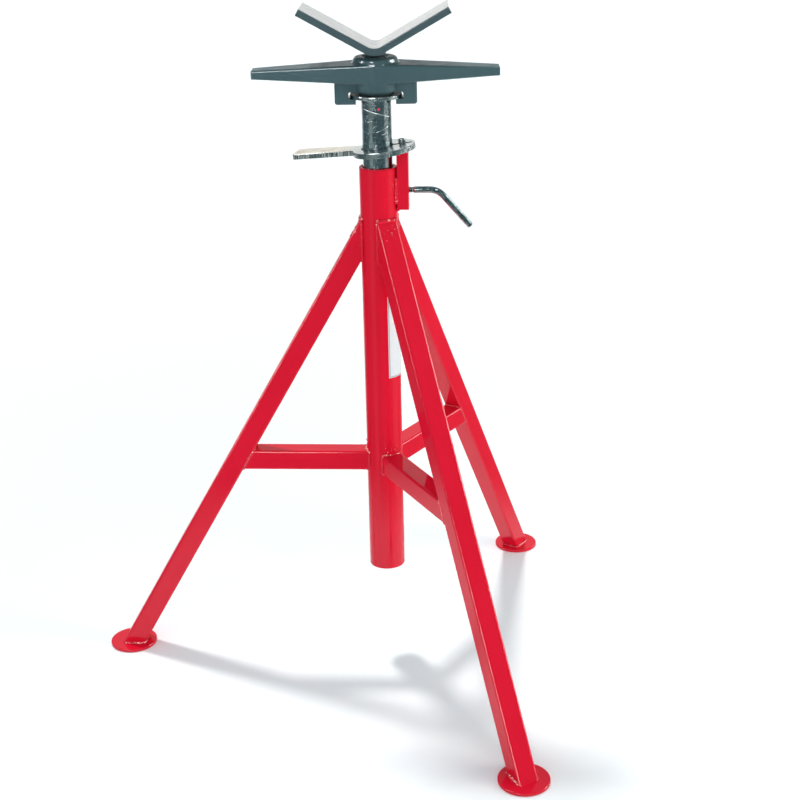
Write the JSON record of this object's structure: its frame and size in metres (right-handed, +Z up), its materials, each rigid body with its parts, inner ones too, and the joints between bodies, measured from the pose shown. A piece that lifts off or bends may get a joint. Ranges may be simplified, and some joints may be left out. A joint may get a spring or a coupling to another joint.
{
  "type": "pipe jack stand",
  "caption": "Tripod jack stand with a sliding clamped mast, a threaded jack handle and a swivelling V saddle that holds pipe at working height.",
  "frame": {"origin": "middle of the bounding box of the whole stand at floor level; the mast's axis is 85.4 mm towards +X from it", "axes": "+Z up along the mast; -X points from the mast to leg_left; the lever bracket and the crank are on the +X side"},
  "size_m": [0.5724, 0.6516, 0.8236],
  "materials": {
    "red_enamel": "gloss",
    "grey_enamel": "semi-gloss over cast and bent steel",
    "zinc_steel": "bright zinc plate, scratched",
    "dark_steel": "oiled machined steel",
    "white_label": "satin film"
  },
  "bodies": {
    "frame": {"outer_tube": "red_enamel", "leg_left": "red_enamel", "leg_front": "red_enamel", "leg_rear": "red_enamel", "brace_left": "red_enamel", "brace_front": "red_enamel", "brace_rear": "red_enamel", "foot_left": "red_enamel", "foot_front": "red_enamel", "foot_rear": "red_enamel", "lever_bracket": "red_enamel", "lever_screw": "zinc_steel", "tube_label": "white_label"},
    "mast": {"mast_tube": "zinc_steel", "mast_flange": "zinc_steel"},
    "handle": {"jack_handle": "grey_enamel"},
    "screw": {"jack_screw": "dark_steel", "screw_stop": "dark_steel", "screw_stop_bolt": "dark_steel"},
    "saddle": {"v_stem": "grey_enamel", "v_saddle": "grey_enamel"},
    "lever": {"clamp_lever": "zinc_steel"},
    "crank": {"crank_screw": "zinc_steel"}
  },
  "joints": [
    {"name": "mast_slide", "type": "slide", "parent": "frame", "child": "mast", "axis": [0, 0, 1], "range_m": [-0.04, 0.41]},
    {"name": "handle_turn", "type": "hinge", "parent": "mast", "child": "handle", "pos_m": [0.08539, 0, 0.7248], "axis": [0, 0, -1], "range_deg": [0, 8856]},
    {"name": "screw_lift", "type": "slide", "parent": "mast", "child": "screw", "axis": [0, 0, 1], "range_m": [0, 0.125]},
    {"name": "saddle_swivel", "type": "hinge", "parent": "screw", "child": "saddle", "pos_m": [0.08539, 0, 0.767], "axis": [0, 0, 1], "continuous": true},
    {"name": "lever_lift", "type": "hinge", "parent": "frame", "child": "lever", "pos_m": [0.10819, 0, 0.65977], "axis": [0, 1, 0], "range_deg": [0, 7.8]},
    {"name": "crank_turn", "type": "hinge", "parent": "frame", "child": "crank", "pos_m": [0.11539, 0, 0.6117], "axis": [1, 0, 0], "range_deg": [-180, 180]}
  ],
  "couplings": [
    {"joint": "screw_lift", "follows": "handle_turn", "m_per_rad": 0.00080851}
  ]
}
